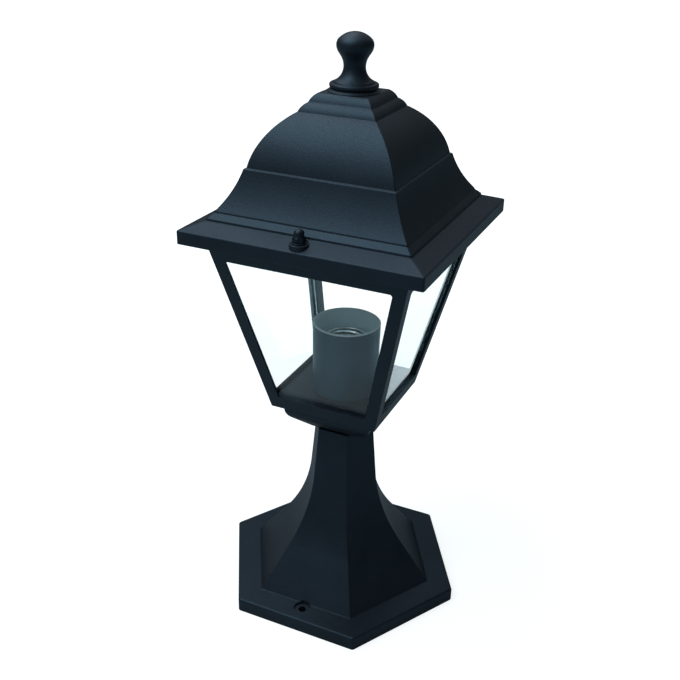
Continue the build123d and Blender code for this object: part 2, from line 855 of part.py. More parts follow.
with BuildPart() as earth_screw:
    with BuildSketch(Plane.XZ.offset(-eyelet_y)):
        with Locations((0, earth_screw_z)):
            Circle(small_screw_head_radius)
    extrude(amount=small_screw_head_height)
    with BuildSketch(Plane.XZ.offset(-eyelet_y)):
        with Locations((0, earth_screw_z)):
            Circle(small_screw_radius)
    extrude(amount=-(eyelet_thickness + bracket_thickness + small_screw_tail))
finish(earth_screw, "earth_screw")
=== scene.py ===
import json
import math

import bmesh
import bpy
from mathutils import Matrix, Vector


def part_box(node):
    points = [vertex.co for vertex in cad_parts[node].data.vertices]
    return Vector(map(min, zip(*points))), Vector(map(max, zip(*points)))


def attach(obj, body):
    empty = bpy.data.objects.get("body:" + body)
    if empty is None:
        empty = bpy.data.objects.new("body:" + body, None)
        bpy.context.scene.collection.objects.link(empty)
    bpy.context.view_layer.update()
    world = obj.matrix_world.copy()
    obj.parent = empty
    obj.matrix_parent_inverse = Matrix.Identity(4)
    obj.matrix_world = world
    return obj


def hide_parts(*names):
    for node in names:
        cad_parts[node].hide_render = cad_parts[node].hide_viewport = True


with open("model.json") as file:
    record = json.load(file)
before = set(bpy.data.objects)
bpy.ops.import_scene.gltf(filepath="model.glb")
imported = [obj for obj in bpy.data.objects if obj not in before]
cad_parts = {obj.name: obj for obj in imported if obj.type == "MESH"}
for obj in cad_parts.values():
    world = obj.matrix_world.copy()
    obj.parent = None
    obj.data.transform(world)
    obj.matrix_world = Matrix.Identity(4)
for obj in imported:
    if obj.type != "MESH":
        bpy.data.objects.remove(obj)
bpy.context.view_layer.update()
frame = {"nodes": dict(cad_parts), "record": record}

NODES = frame["nodes"]
SCENE = bpy.context.scene
MM = 0.001

SCENE.view_settings.view_transform = "Standard"


# Sizes in millimetres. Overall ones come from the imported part, the rest are mouldings and fittings.

def span(node):
    """Lowest and highest corner of a CAD node, in millimetres."""
    low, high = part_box(node)
    return [value / MM for value in low], [value / MM for value in high]


# Shared by many pieces: edge rounds, the small flat that closes a turned form, and a cutter's overshoot
SOFT_EDGE = 0.5
FINE_EDGE = 0.3
ARRIS_ROUND = 0.8
CORE = 1.0
CUT_PAST = 1.0

# Roof, from the eave up
ROOF_LOW, ROOF_HIGH = span("roof")
EAVE_HALF = ROOF_HIGH[0]
EAVE_BOTTOM = ROOF_LOW[2]
ROOF_TOP = ROOF_HIGH[2]
EAVE_ROUND = 1.2
SKIRT_WALL = 2.8
SKIRT_DROP = 4.4
FASCIA_HEIGHT = 8.6
FASCIA_EDGE = 0.9
RIM_WIDTH = 13.0
RIM_RISE = 4.6
BEAD_LEAN = 0.3
BEAD_RISE = 1.4
BEAD_WIDTH = 3.6
BEAD_SLOPE_RISE = 3.2
FLARE_RISE = 1.0
FLARE_HEIGHT = 24.6
FLARE_WIDTH = 12.9
FLARE_RADIUS = 70.0
LEDGE_WIDTH = 1.4
LEDGE_RISE = 0.6
DOME_HEIGHT = 32.1
DOME_WIDTH = 22.8
DOME_RADIUS = 50.0
STEP_RISE = 5.1
STEP_WIDTH = 4.3
STEP_RADIUS = 10.0
STEP_TREAD = 0.5
ROOF_WALL = 2.8
ROOF_TOP_PLATE = 4.0
SEAT_PAD_RADIUS = 5.0
SEAT_PAD_SINK = 0.4
FLANGE_TOP = EAVE_BOTTOM + SKIRT_DROP
FASCIA_TOP = EAVE_BOTTOM + FASCIA_HEIGHT
RIM_FOOT = FASCIA_TOP + RIM_RISE
BEAD_FOOT = RIM_FOOT + BEAD_RISE
BEAD_TOP = BEAD_FOOT + BEAD_SLOPE_RISE
FLARE_FOOT = BEAD_TOP + FLARE_RISE
FLARE_TOP = FLARE_FOOT + FLARE_HEIGHT
DOME_FOOT = FLARE_TOP + LEDGE_RISE
DOME_TOP = DOME_FOOT + DOME_HEIGHT
LOWER_STEP = DOME_TOP + STEP_RISE
UPPER_STEP_FOOT = ROOF_TOP - STEP_RISE
RIM_FOOT_HALF = EAVE_HALF - RIM_WIDTH
BEAD_FOOT_HALF = RIM_FOOT_HALF - BEAD_LEAN
BEAD_TOP_HALF = BEAD_FOOT_HALF - BEAD_WIDTH
FLARE_FOOT_HALF = BEAD_TOP_HALF - BEAD_LEAN
FLARE_TOP_HALF = FLARE_FOOT_HALF - FLARE_WIDTH
DOME_FOOT_HALF = FLARE_TOP_HALF - LEDGE_WIDTH
DOME_TOP_HALF = DOME_FOOT_HALF - DOME_WIDTH
LOWER_STEP_HALF = DOME_TOP_HALF - STEP_WIDTH
UPPER_STEP_HALF = LOWER_STEP_HALF - STEP_TREAD
ROOF_TOP_HALF = UPPER_STEP_HALF - STEP_WIDTH

# Pillar and foot, whose hexagons are given by the distance from the axis to a side
PILLAR_HIGH = span("pillar")[1]
PILLAR_HEIGHT = PILLAR_HIGH[2]
FOOT_FLAT = PILLAR_HIGH[1]
HEXAGON_FLAT = math.cos(math.radians(30))
FOOT_HEIGHT = 10.3
FOOT_PLATE = 4.0
FOOT_WALL = 3.0
FOOT_EDGE_ROUND = 1.6
FOOT_CORNER_ROUND = 2.25
PILLAR_FOOT_FLAT = 71.0 * HEXAGON_FLAT
PILLAR_BEND_FLAT = 28.6 * HEXAGON_FLAT
PILLAR_BEND_HEIGHT = 63.3
PILLAR_BEND_RADIUS = 112.0
PILLAR_NECK_FLAT = 22.3 * HEXAGON_FLAT
PILLAR_NECK_EDGE = 0.4
PILLAR_WALL = 3.0
PILLAR_TOP_PLATE = 4.5
FIXING_SPOT_RADIUS = 6.0
FIXING_SPOT_CUT = 1.5
FIXING_OFFSET = PILLAR_FOOT_FLAT + FIXING_SPOT_RADIUS - FIXING_SPOT_CUT
FIXING_SPOT_DEPTH = 1.5
FIXING_HEAD_ROOM = 6.0
FIXING_HOLE_RADIUS = 2.75
FIXING_BOSS_RADIUS = 8.0
FIXING_BOSS_FOOT = 0.2
FIXING_BOSS_EDGE = 0.4
FIXING_BOSS_SINK = 1.0
TUBE_HOLE_RADIUS = 5.25

# Studs, washers and cap nuts that hold the roof
STUD_LOW, STUD_HIGH = span("roof_studs")
STUD_RADIUS = 2.0
STUD_PITCH = 0.7
STUD_THREAD_DEPTH = 0.36
STUD_PLAIN = 3.0
STUD_HEAD_RADIUS = 3.2
STUD_HEAD_HEIGHT = 1.5
STUD_HEAD_EDGE = 0.2
STUD_OFFSET = STUD_HIGH[1] - STUD_HEAD_RADIUS
STUD_HOLE_RADIUS = 2.4
SPOT_RADIUS = 6.0
SPOT_EDGE = 0.4
SPOT_SINK = 1.0
WASHER_LOW, WASHER_HIGH = span("nut_washers")
WASHER_UNDER_EDGE = 0.15
WASHER_TOP_EDGE = 0.25
SPOT_TOP = WASHER_LOW[2]
NUT_SEAT = WASHER_HIGH[2]
NUT_HEXAGON_HEIGHT = 3.4
NUT_UNDER_CHAMFER = 0.45
NUT_UNDER_INSET = 0.05
NUT_TOP_CHAMFER = 0.55
NUT_TOP_INSET = 0.02
NUT_DOME_RADIUS = 3.15
NUT_DOME_FLARE = 0.12
NUT_DOME_LIFT = 0.02
NUT_DOME_FOOT = 0.2
NUT_DOME_STEP = 6
NUT_CROWN_HEIGHT = 2.6

# Tube, lamp thread and screws. A screw's tip and crown are shares of its shaft and head.
THREAD_RUN_OUT = 0.4
THREAD_CHAMFER = 0.5
TUBE_PITCH = 1.0
TUBE_THREAD_DEPTH = 0.45
TUBE_BORE = 4.0
TUBE_NUT_BORE = 5.05
TUBE_NUT_CHAMFER = 0.7
TUBE_NUT_MOUTH = 0.4
LAMP_PITCH = 3.63
LAMP_THREAD_DEPTH = 0.5
LAMP_THREAD_FADE = 1.6
SHELL_RADIUS = 12.95
SHELL_SHEET = 0.5
SHELL_LIP_HEIGHT = 0.8
SHELL_EDGE = 0.15
SHELL_LIP_TOP_EDGE = 0.2
SCREW_CORE = 0.3
SCREW_TIP = 0.5
SCREW_TIP_SHARE = 0.7
SCREW_CROWN_FOOT = 0.45
SCREW_CROWN_FLAT = 0.3
SCREW_CROWN_RADIUS = 1.3
SCREW_HEAD_EDGE = 0.2
SCREW_HEAD_HEIGHT = 1.8
SCREW_SHAFT_RADIUS = 1.5
SCREW_SLOT = 0.7
GRUB_RADIUS = 1.3
GRUB_POINT = 2.0
GRUB_SLOT = 0.5
KNOB_HEAD_HEIGHT = 1.5
KNOB_SHAFT_RADIUS = 2.0
KNOB_SLOT = 0.8

# Lampholder, whose inside and rim take painted light: a pale colour that stands in for the light falling
# there
PAINTED_LIGHT_RADIUS = 22.0
PAINTED_LIGHT_BLEND = 0.1
HOLDER_LIP_CHAMFER = 0.6
HOLDER_RIM = span("holder_body")[1][2] - HOLDER_LIP_CHAMFER

# Cage, which stays as imported
CAGE_EDGE = 0.4
WELD_REACH = 0.002


# Node helpers

def new_material(name):
    """An empty node material with a shader and an output."""
    material = bpy.data.materials.new(name)
    material.use_nodes = True
    tree = material.node_tree
    tree.nodes.clear()
    output = tree.nodes.new("ShaderNodeOutputMaterial")
    shader = tree.nodes.new("ShaderNodeBsdfPrincipled")
    tree.links.new(shader.outputs[0], output.inputs["Surface"])
    return material, tree, shader


def coordinates(tree):
    """Object coordinates, which are metres in the row frame."""
    return tree.nodes.new("ShaderNodeTexCoord").outputs["Object"]


def length(tree, vector):
    """The length of a vector."""
    node = tree.nodes.new("ShaderNodeVectorMath")
    node.operation = "LENGTH"
    tree.links.new(vector, node.inputs[0])
    return node.outputs["Value"]


def axis(tree, vector, name):
    """A vector's value along one axis."""
    node = tree.nodes.new("ShaderNodeSeparateXYZ")
    tree.links.new(vector, node.inputs[0])
    return node.outputs[name]


def noise(tree, vector, scale, detail=2.0, roughness=0.5):
    """Noise round 0.5, with its scale in waves per metre."""
    node = tree.nodes.new("ShaderNodeTexNoise")
    node.inputs["Scale"].default_value = scale
    node.inputs["Detail"].default_value = detail
    node.inputs["Roughness"].default_value = roughness
    tree.links.new(vector, node.inputs["Vector"])
    return node.outputs["Fac"]


NOISE_LOW = 0.3
NOISE_HIGH = 0.7


def spread(tree, value, low, high, start=NOISE_LOW, end=NOISE_HIGH):
    """Maps a value onto a range."""
    node = tree.nodes.new("ShaderNodeMapRange")
    node.inputs["From Min"].default_value = start
    node.inputs["From Max"].default_value = end
    node.inputs["To Min"].default_value = low
    node.inputs["To Max"].default_value = high
    tree.links.new(value, node.inputs["Value"])
    return node.outputs["Result"]


def tint(tree, value, dark, light):
    """Maps a noise onto two colours."""
    node = tree.nodes.new("ShaderNodeValToRGB")
    stops = node.color_ramp.elements
    for stop, position, colour in zip(stops, (NOISE_LOW, NOISE_HIGH), (dark, light)):
        stop.position = position
        stop.color = (*colour, 1)
    tree.links.new(value, node.inputs["Fac"])
    return node.outputs["Color"]


def mix_colour(tree, factor, first, second):
    """Mixes two colours, each a socket or three numbers."""
    node = tree.nodes.new("ShaderNodeMix")
    node.data_type = "RGBA"
    tree.links.new(factor, node.inputs["Factor"])
    for name, colour in (("A", first), ("B", second)):
        if isinstance(colour, tuple):
            node.inputs[name].default_value = (*colour, 1)
        else:
            tree.links.new(colour, node.inputs[name])
    return node.outputs["Result"]


def math_node(tree, operation, first, second):
    """A Math node. Each input is a socket or a number."""
    node = tree.nodes.new("ShaderNodeMath")
    node.operation = operation
    for socket, value in zip(node.inputs, (first, second)):
        if isinstance(value, (int, float)):
            socket.default_value = value
        else:
            tree.links.new(value, socket)
    return node.outputs[0]


def bump(tree, shader, height, strength, distance, below=None):
    """Bumps a shader's surface, over another bump if one is given."""
    node = tree.nodes.new("ShaderNodeBump")
    node.inputs["Strength"].default_value = strength
    node.inputs["Distance"].default_value = distance
    tree.links.new(height, node.inputs["Height"])
    if below is not None:
        tree.links.new(below, node.inputs["Normal"])
    tree.links.new(node.outputs["Normal"], shader.inputs["Normal"])
    return node.outputs["Normal"]


# Materials. Each has a dark and a light colour that drift into each other, and a range of roughness.

# Painted cool light: the highlights of paint and plastic take a blue tint that stands in for the cool
# light
PAINT_COOL_LIGHT_TINT = (0.4, 0.72, 1.0, 1)
PLASTIC_COOL_LIGHT_TINT = (0.5, 0.85, 1.0, 1)
GLASS_INDEX = 1.42


def black_paint(name, dark, light, rough, grain):
    """Satin powder paint over a cast surface: fine grain, soft orange peel and slight colour drift."""
    material, tree, shader = new_material(name)
    where = coordinates(tree)
    drift = noise(tree, where, scale=45, detail=4, roughness=0.6)
    tree.links.new(tint(tree, drift, dark, light), shader.inputs["Base Color"])
    fine = noise(tree, where, scale=1500, detail=2, roughness=0.6)
    tree.links.new(spread(tree, fine, *rough), shader.inputs["Roughness"])
    peel = noise(tree, where, scale=650, detail=3, roughness=0.6)
    below = bump(tree, shader, peel, strength=0.3, distance=0.3 * MM)
    bump(tree, shader, fine, strength=grain, distance=0.1 * MM, below=below)
    # Painted cool light in the paint's highlights
    shader.inputs["Specular Tint"].default_value = PAINT_COOL_LIGHT_TINT
    return material


def inside_cup(tree, where, radius, rim):
    """1 within a radius of the axis or above the height of a rim, and 0 elsewhere."""
    flat = tree.nodes.new("ShaderNodeVectorMath")
    flat.operation = "MULTIPLY"
    flat.inputs[1].default_value = (1, 1, 0)
    tree.links.new(where, flat.inputs[0])
    edge = ((radius - PAINTED_LIGHT_BLEND) * MM, (radius + PAINTED_LIGHT_BLEND) * MM)
    foot = ((rim - PAINTED_LIGHT_BLEND) * MM, (rim + PAINTED_LIGHT_BLEND) * MM)
    within = spread(tree, length(tree, flat.outputs[0]), 1.0, 0.0, *edge)
    above = spread(tree, axis(tree, where, "Z"), 0.0, 1.0, *foot)
    return math_node(tree, "MAXIMUM", within, above)


def plastic(name, dark, light, rough, painted_inside_light=None):
    """Moulded plastic with a fine matt grain. A cup of it can have painted light, a pale colour on its
    inside and rim.
    """
    material, tree, shader = new_material(name)
    where = coordinates(tree)
    colour = tint(tree, noise(tree, where, scale=60, detail=3), dark, light)
    if painted_inside_light:
        # Painted light: the cup's inside and rim turn pale where light falls into it
        colour = mix_colour(tree, inside_cup(tree, where, PAINTED_LIGHT_RADIUS, HOLDER_RIM), colour, painted_inside_light)
    tree.links.new(colour, shader.inputs["Base Color"])
    fine = noise(tree, where, scale=900)
    tree.links.new(spread(tree, fine, *rough), shader.inputs["Roughness"])
    bump(tree, shader, fine, strength=0.12, distance=0.1 * MM)
    # Painted cool light in the plastic's highlights
    shader.inputs["Specular Tint"].default_value = PLASTIC_COOL_LIGHT_TINT
    return material


def metal(name, dark, light, rough):
    """Plated or bare metal with faint clouding."""
    material, tree, shader = new_material(name)
    where = coordinates(tree)
    drift = noise(tree, where, scale=220, detail=4, roughness=0.6)
    tree.links.new(tint(tree, drift, dark, light), shader.inputs["Base Color"])
    fine = noise(tree, where, scale=700, detail=3)
    tree.links.new(spread(tree, fine, *rough), shader.inputs["Roughness"])
    bump(tree, shader, fine, strength=0.1, distance=0.05 * MM)
    shader.inputs["Metallic"].default_value = 1.0
    return material


def clear_glass(name, dark, light):
    """Flat float glass with a faint ripple and a trace of colour drift."""
    material, tree, shader = new_material(name)
    where = coordinates(tree)
    drift = noise(tree, where, scale=20)
    tree.links.new(tint(tree, drift, dark, light), shader.inputs["Base Color"])
    ripple = noise(tree, where, scale=14, detail=1)
    bump(tree, shader, ripple, strength=0.02, distance=0.2 * MM)
    shader.inputs["Roughness"].default_value = 0.0
    shader.inputs["Transmission Weight"].default_value = 1.0
    shader.inputs["IOR"].default_value = GLASS_INDEX
    return material


BY_SLOT = {
    "black_paint": black_paint(
        "black_paint", (0.007, 0.008, 0.011), (0.0105, 0.012, 0.0165), rough=(0.46, 0.56), grain=0.2
    ),
    "black_nuts": black_paint(
        "black_nuts", (0.004, 0.005, 0.007), (0.006, 0.008, 0.011), rough=(0.42, 0.52), grain=0.1
    ),
    "clear_glass": clear_glass("clear_glass", (0.975, 0.99, 0.985), (0.99, 1.0, 0.995)),
    "grey_holder": plastic(
        "grey_holder", (0.031, 0.072, 0.103), (0.041, 0.087, 0.123), rough=(0.4, 0.5),
        # Painted light on the cup's inside and rim
        painted_inside_light=(0.68, 0.93, 1.0),
    ),
    "plated_shell": metal("plated_shell", (0.62, 0.62, 0.6), (0.74, 0.74, 0.72), rough=(0.14, 0.28)),
    "brass": metal("brass", (0.62, 0.44, 0.18), (0.78, 0.58, 0.26), rough=(0.2, 0.34)),
    "zinc_steel": metal("zinc_steel", (0.5, 0.51, 0.52), (0.64, 0.65, 0.66), rough=(0.26, 0.42)),
    "pale_nylon": plastic("pale_nylon", (0.72, 0.7, 0.63), (0.8, 0.78, 0.72), rough=(0.42, 0.55)),
    "live_insulation": plastic(
        "live_insulation", (0.16, 0.06, 0.025), (0.22, 0.085, 0.035), rough=(0.4, 0.5)
    ),
    "neutral_insulation": plastic(
        "neutral_insulation", (0.03, 0.1, 0.36), (0.05, 0.15, 0.46), rough=(0.4, 0.5)
    ),
    "earth_insulation": plastic(
        "earth_insulation", (0.18, 0.4, 0.04), (0.25, 0.5, 0.07), rough=(0.4, 0.5)
    ),
}

SLOT_OF = {row["node"]: row["material_slot"] for row in frame["record"]["subparts"]}

for name, slot in SLOT_OF.items():
    NODES[name].data.materials.clear()
    NODES[name].data.materials.append(BY_SLOT[slot])


# Mesh helpers, all in millimetres

SIDE_SHARE = 0.45
LONG_FACET = 1.2
FINE_FACET = 0.3

# Number of sides, and where the first one faces in degrees
SQUARE = (4, 0)
HEXAGON = (6, 30)


def arc(start, end, radius, steps):
    """Points of an arc that bulges to the left of its travel, or to the right for a negative radius."""
    (x0, z0), (x1, z1) = start, end
    across, along = x1 - x0, z1 - z0
    chord = math.hypot(across, along)
    drop = math.sqrt(radius ** 2 - (chord / 2) ** 2) * (1 if radius > 0 else -1)
    centre_x = (x0 + x1) / 2 + drop * along / chord
    centre_z = (z0 + z1) / 2 - drop * across / chord
    first = math.atan2(z0 - centre_z, x0 - centre_x)
    last = math.atan2(z1 - centre_z, x1 - centre_x)
    sweep = (last - first + math.pi) % math.tau - math.pi
    points = []
    for step in range(steps + 1):
        angle = first + sweep * step / steps
        points.append((centre_x + abs(radius) * math.cos(angle), centre_z + abs(radius) * math.sin(angle)))
    return points


def rounded(path, longest=LONG_FACET):
    """A path of (half, height) or (half, height, round) points, whose rounded corners become arcs. A round
    takes up no more than its share of the sides beside it."""
    points = []
    for index, (half, height, *extra) in enumerate(path):
        if not extra:
            points.append((half, height))
            continue
        corner = Vector((half, height))
        back = Vector(path[index - 1][:2]) - corner
        ahead = Vector(path[index + 1][:2]) - corner
        opening = back.angle(ahead)
        reach = min(extra[0] / math.tan(opening / 2), SIDE_SHARE * back.length, SIDE_SHARE * ahead.length)
        radius = reach * math.tan(opening / 2)
        turns_left = back.x * ahead.y - back.y * ahead.x > 0
        steps = max(3, math.ceil(radius * (math.pi - opening) / longest))
        start = corner + back.normalized() * reach
        end = corner + ahead.normalized() * reach
        points += arc(start, end, radius if turns_left else -radius, steps)
    return points


def polygon_ring(sides, first_side, flat, corner_round, height, steps=4):
    """A level ring round the axis: a regular polygon with rounded corners, given by its half-width."""
    turn = math.tau / sides
    reach = (flat - corner_round) / math.cos(turn / 2)
    ring = []
    for side in range(sides):
        facing = math.radians(first_side) + side * turn
        middle = facing + turn / 2
        for step in range(steps + 1):
            angle = facing + turn * step / steps
            ring.append((
                reach * math.cos(middle) + corner_round * math.cos(angle),
                reach * math.sin(middle) + corner_round * math.sin(angle),
                height,
            ))
    return ring


def round_ring(radius, height, segments):
    """A level circle round the axis."""
    angles = [math.tau * index / segments for index in range(segments)]
    return [(radius * math.cos(angle), radius * math.sin(angle), height) for angle in angles]


def loft(rings, closed=False):
    """Skins rings of equal length. The ends are capped, or joined to each other if closed."""
    mesh = bmesh.new()
    loops = [[mesh.verts.new(point) for point in ring] for ring in rings]
    if closed:
        loops.append(loops[0])
    else:
        mesh.faces.new(loops[0])
        mesh.faces.new(loops[-1])
    for low, high in zip(loops, loops[1:]):
        for index in range(len(low)):
            follow = (index + 1) % len(low)
            mesh.faces.new((low[index], low[follow], high[follow], high[index]))
    bmesh.ops.recalc_face_normals(mesh, faces=mesh.faces)
    return mesh


def lathe(path, segments=48, closed=False):
    """A turned form from a path of (radius, height) points."""
    points = rounded(path, FINE_FACET)
    return loft([round_ring(radius, height, segments) for radius, height in points], closed)


def plug(radius, bottom, top, bottom_edge=None, top_edge=None):
    """A solid round form on the axis, with a rim rounded where its edge is given."""
    low_rim = (radius, bottom, bottom_edge) if bottom_edge else (radius, bottom)
    high_rim = (radius, top, top_edge) if top_edge else (radius, top)
    return lathe([(CORE, bottom), low_rim, high_rim, (CORE, top)])


def drill(radius, bottom, top):
    """A round cutter on the axis."""
    return lathe([(radius, bottom), (radius, top)])


def moved(mesh, place, facing="Z"):
    """Stands a form made round the Z axis at a place, with its axis along Z or turned to face -Y."""
    if facing == "-Y":
        bmesh.ops.rotate(mesh, verts=mesh.verts, matrix=Matrix.Rotation(math.radians(90), 3, "X"))
    bmesh.ops.translate(mesh, verts=mesh.verts, vec=place)
    return mesh


def make_object(name, *meshes):
    """One object from forms that stay separate inside it."""
    data = bpy.data.meshes.new(name)
    whole = bmesh.new()
    for mesh in meshes:
        mesh.to_mesh(data)
        mesh.free()
        whole.from_mesh(data)
    whole.to_mesh(data)
    whole.free()
    made = bpy.data.objects.new(name, data)
    SCENE.collection.objects.link(made)
    return made


def combine(target, operation, mesh):
    """Adds a form to an object, or cuts it out of it."""
    tool = make_object("tool", mesh)
    cut = target.modifiers.new("cut", "BOOLEAN")
    cut.operation = operation
    cut.solver = "EXACT"
    cut.object = tool
    bpy.context.view_layer.update()
    depsgraph = bpy.context.evaluated_depsgraph_get()
    result = bpy.data.meshes.new_from_object(target.evaluated_get(depsgraph))
    target.modifiers.clear()
    target.data = result
    bpy.data.objects.remove(tool)


def dress(piece, node, body="pedestal", sharp=38):
    """Finishes a piece: metres, its slot's material, smooth shading and its body. The CAD node it stands
    for is hidden.
    """
    slot = SLOT_OF[node]
    piece.data.transform(Matrix.Scale(MM, 4))
    piece.data.materials.clear()
    piece.data.materials.append(BY_SLOT[slot])
    piece.data.shade_smooth()
    piece.data.set_sharp_from_angle(angle=math.radians(sharp))
    even = piece.modifiers.new("even_shading", "WEIGHTED_NORMAL")
    even.keep_sharp = True
    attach(piece, body)
    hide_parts(node)


# Roof casting

def roof_path():
    """Half-section of the roof, from the top plate down the outside and up the inside."""
    upper_step = arc((ROOF_TOP_HALF, ROOF_TOP), (UPPER_STEP_HALF, UPPER_STEP_FOOT), STEP_RADIUS, steps=8)
    lower_step = arc((LOWER_STEP_HALF, LOWER_STEP), (DOME_TOP_HALF, DOME_TOP), STEP_RADIUS, steps=8)
    dome = arc((DOME_TOP_HALF, DOME_TOP), (DOME_FOOT_HALF, DOME_FOOT), DOME_RADIUS, steps=24)
    flare = arc((FLARE_TOP_HALF, FLARE_TOP), (FLARE_FOOT_HALF, FLARE_FOOT), -FLARE_RADIUS, steps=20)
    path = [(ROOF_TOP_HALF / 2, ROOF_TOP)]
    path += [(*upper_step[0], SOFT_EDGE), *upper_step[1:]]
    path += [(*lower_step[0], SOFT_EDGE), *lower_step[1:-1]]
    path += [(*dome[0], SOFT_EDGE), *dome[1:-1], (*dome[-1], FINE_EDGE)]
    path += [(*flare[0], SOFT_EDGE), *flare[1:-1], (*flare[-1], SOFT_EDGE)]
    path += [
        (BEAD_TOP_HALF, BEAD_TOP, SOFT_EDGE),
        (BEAD_FOOT_HALF, BEAD_FOOT, SOFT_EDGE),
        (RIM_FOOT_HALF, RIM_FOOT, SOFT_EDGE),
        (EAVE_HALF, FASCIA_TOP, FASCIA_EDGE),
        (EAVE_HALF, EAVE_BOTTOM, FINE_EDGE),
        (EAVE_HALF - SKIRT_WALL, EAVE_BOTTOM, SOFT_EDGE),
        (EAVE_HALF - SKIRT_WALL, FASCIA_TOP - ROOF_WALL),
    ]
    inner_foot = (FLARE_FOOT_HALF - ROOF_WALL, RIM_FOOT - ROOF_WALL)
    inner_ledge = (DOME_FOOT_HALF - ROOF_WALL, FLARE_TOP)
    inner_top = (DOME_TOP_HALF - ROOF_WALL, DOME_TOP - ROOF_WALL)
    path += arc(inner_foot, inner_ledge, FLARE_RADIUS + ROOF_WALL, steps=12)
    path += arc(inner_ledge, inner_top, ROOF_WALL - DOME_RADIUS, steps=12)[1:]
    path += [
        (ROOF_TOP_HALF - ROOF_WALL, DOME_TOP - ROOF_WALL),
        (ROOF_TOP_HALF - ROOF_WALL, ROOF_TOP - ROOF_TOP_PLATE),
        (ROOF_TOP_HALF / 2, ROOF_TOP - ROOF_TOP_PLATE),
    ]
    return rounded(path)


def seat_pad(place):
    """One of the pads under the roof's rim that sit on the cage's flange."""
    top = FASCIA_TOP - SEAT_PAD_SINK
    return moved(plug(SEAT_PAD_RADIUS, FLANGE_TOP, top, bottom_edge=FINE_EDGE), place)


def roof_casting():
    """The moulded roof, with its seat pads, and a spotface and a hole for each stud."""
    rings = []
    for half, height in roof_path():
        arris = EAVE_ROUND if half > EAVE_HALF - EAVE_ROUND else ARRIS_ROUND
        rings.append(polygon_ring(*SQUARE, half, arris, height))
    roof = make_object("roof_casting", loft(rings))
    for x in (STUD_OFFSET, -STUD_OFFSET):
        combine(roof, "UNION", seat_pad((x, 0, 0)))
    for y in (-STUD_OFFSET, STUD_OFFSET):
        place = (0, y, 0)
        combine(roof, "UNION", seat_pad(place))
        combine(roof, "DIFFERENCE", moved(plug(SPOT_RADIUS, SPOT_TOP, FLARE_FOOT), place))
        spot = plug(SPOT_RADIUS, FASCIA_TOP - SPOT_SINK, SPOT_TOP, top_edge=SPOT_EDGE)
        combine(roof, "UNION", moved(spot, place))
        combine(roof, "DIFFERENCE", moved(drill(STUD_HOLE_RADIUS, EAVE_BOTTOM, FLARE_FOOT), place))
    dress(roof, "roof", "roof")


# Pillar casting

def run_half(run, inset, height):
    """Half-width, at a height, of a straight run of the pillar's side moved inwards by inset."""
    (low_half, low), (high_half, high) = run
    slope = (high_half - low_half) / (high - low)
    return low_half + slope * (height - low) - inset * math.hypot(1, slope)


def pillar_path():
    """Half-section of the pillar, from its top down the outside, under the foot and up the hollow."""
    lower = ((PILLAR_FOOT_FLAT, FOOT_HEIGHT), (PILLAR_BEND_FLAT, PILLAR_BEND_HEIGHT))
    upper = ((PILLAR_BEND_FLAT, PILLAR_BEND_HEIGHT), (PILLAR_NECK_FLAT, PILLAR_HEIGHT))
    gap_below = run_half(lower, PILLAR_WALL, 0) - run_half(upper, PILLAR_WALL, 0)
    gap_above = run_half(lower, PILLAR_WALL, PILLAR_HEIGHT) - run_half(upper, PILLAR_WALL, PILLAR_HEIGHT)
    meet = PILLAR_HEIGHT * gap_below / (gap_below - gap_above)
    under = FOOT_HEIGHT - FOOT_PLATE
    ceiling = PILLAR_HEIGHT - PILLAR_TOP_PLATE
    return rounded([
        (PILLAR_NECK_FLAT / 2, PILLAR_HEIGHT),
        (PILLAR_NECK_FLAT, PILLAR_HEIGHT, PILLAR_NECK_EDGE),
        (PILLAR_BEND_FLAT, PILLAR_BEND_HEIGHT, PILLAR_BEND_RADIUS),
        (PILLAR_FOOT_FLAT, FOOT_HEIGHT, ARRIS_ROUND),
        (FOOT_FLAT, FOOT_HEIGHT, FOOT_EDGE_ROUND),
        (FOOT_FLAT, 0, FINE_EDGE),
        (FOOT_FLAT - FOOT_WALL, 0),
        (FOOT_FLAT - FOOT_WALL, under),
        (run_half(lower, PILLAR_WALL, under), under),
        (run_half(lower, PILLAR_WALL, meet), meet, PILLAR_BEND_RADIUS + PILLAR_WALL),
        (run_half(upper, PILLAR_WALL, ceiling), ceiling),
        (PILLAR_NECK_FLAT / 2, ceiling),
    ])


def pillar_casting():
    """The flared hexagonal pillar and its foot, with two fixing holes and the tube's hole."""
    rings = []
    for flat, height in pillar_path():
        on_foot = flat > FOOT_FLAT - 2 * FOOT_EDGE_ROUND
        arris = FOOT_CORNER_ROUND if on_foot else ARRIS_ROUND
        rings.append(polygon_ring(*HEXAGON, flat, arris, height))
    pillar = make_object("pillar_casting", loft(rings))
    spot_floor = FOOT_HEIGHT - FIXING_SPOT_DEPTH
    spot_roof = FOOT_HEIGHT + FIXING_HEAD_ROOM
    boss_top = spot_floor - FIXING_BOSS_SINK
    for y in (-FIXING_OFFSET, FIXING_OFFSET):
        place = (0, y, 0)
        boss = plug(FIXING_BOSS_RADIUS, FIXING_BOSS_FOOT, boss_top, bottom_edge=FIXING_BOSS_EDGE)
        combine(pillar, "UNION", moved(boss, place))
        combine(pillar, "DIFFERENCE", moved(plug(FIXING_SPOT_RADIUS, spot_floor, spot_roof), place))
        combine(pillar, "DIFFERENCE", moved(drill(FIXING_HOLE_RADIUS, -CUT_PAST, spot_roof), place))
    under_top = PILLAR_HEIGHT - 2 * PILLAR_TOP_PLATE
    combine(pillar, "DIFFERENCE", drill(TUBE_HOLE_RADIUS, under_top, PILLAR_HEIGHT + CUT_PAST))
    dress(pillar, "pillar")


# Fasteners and threads

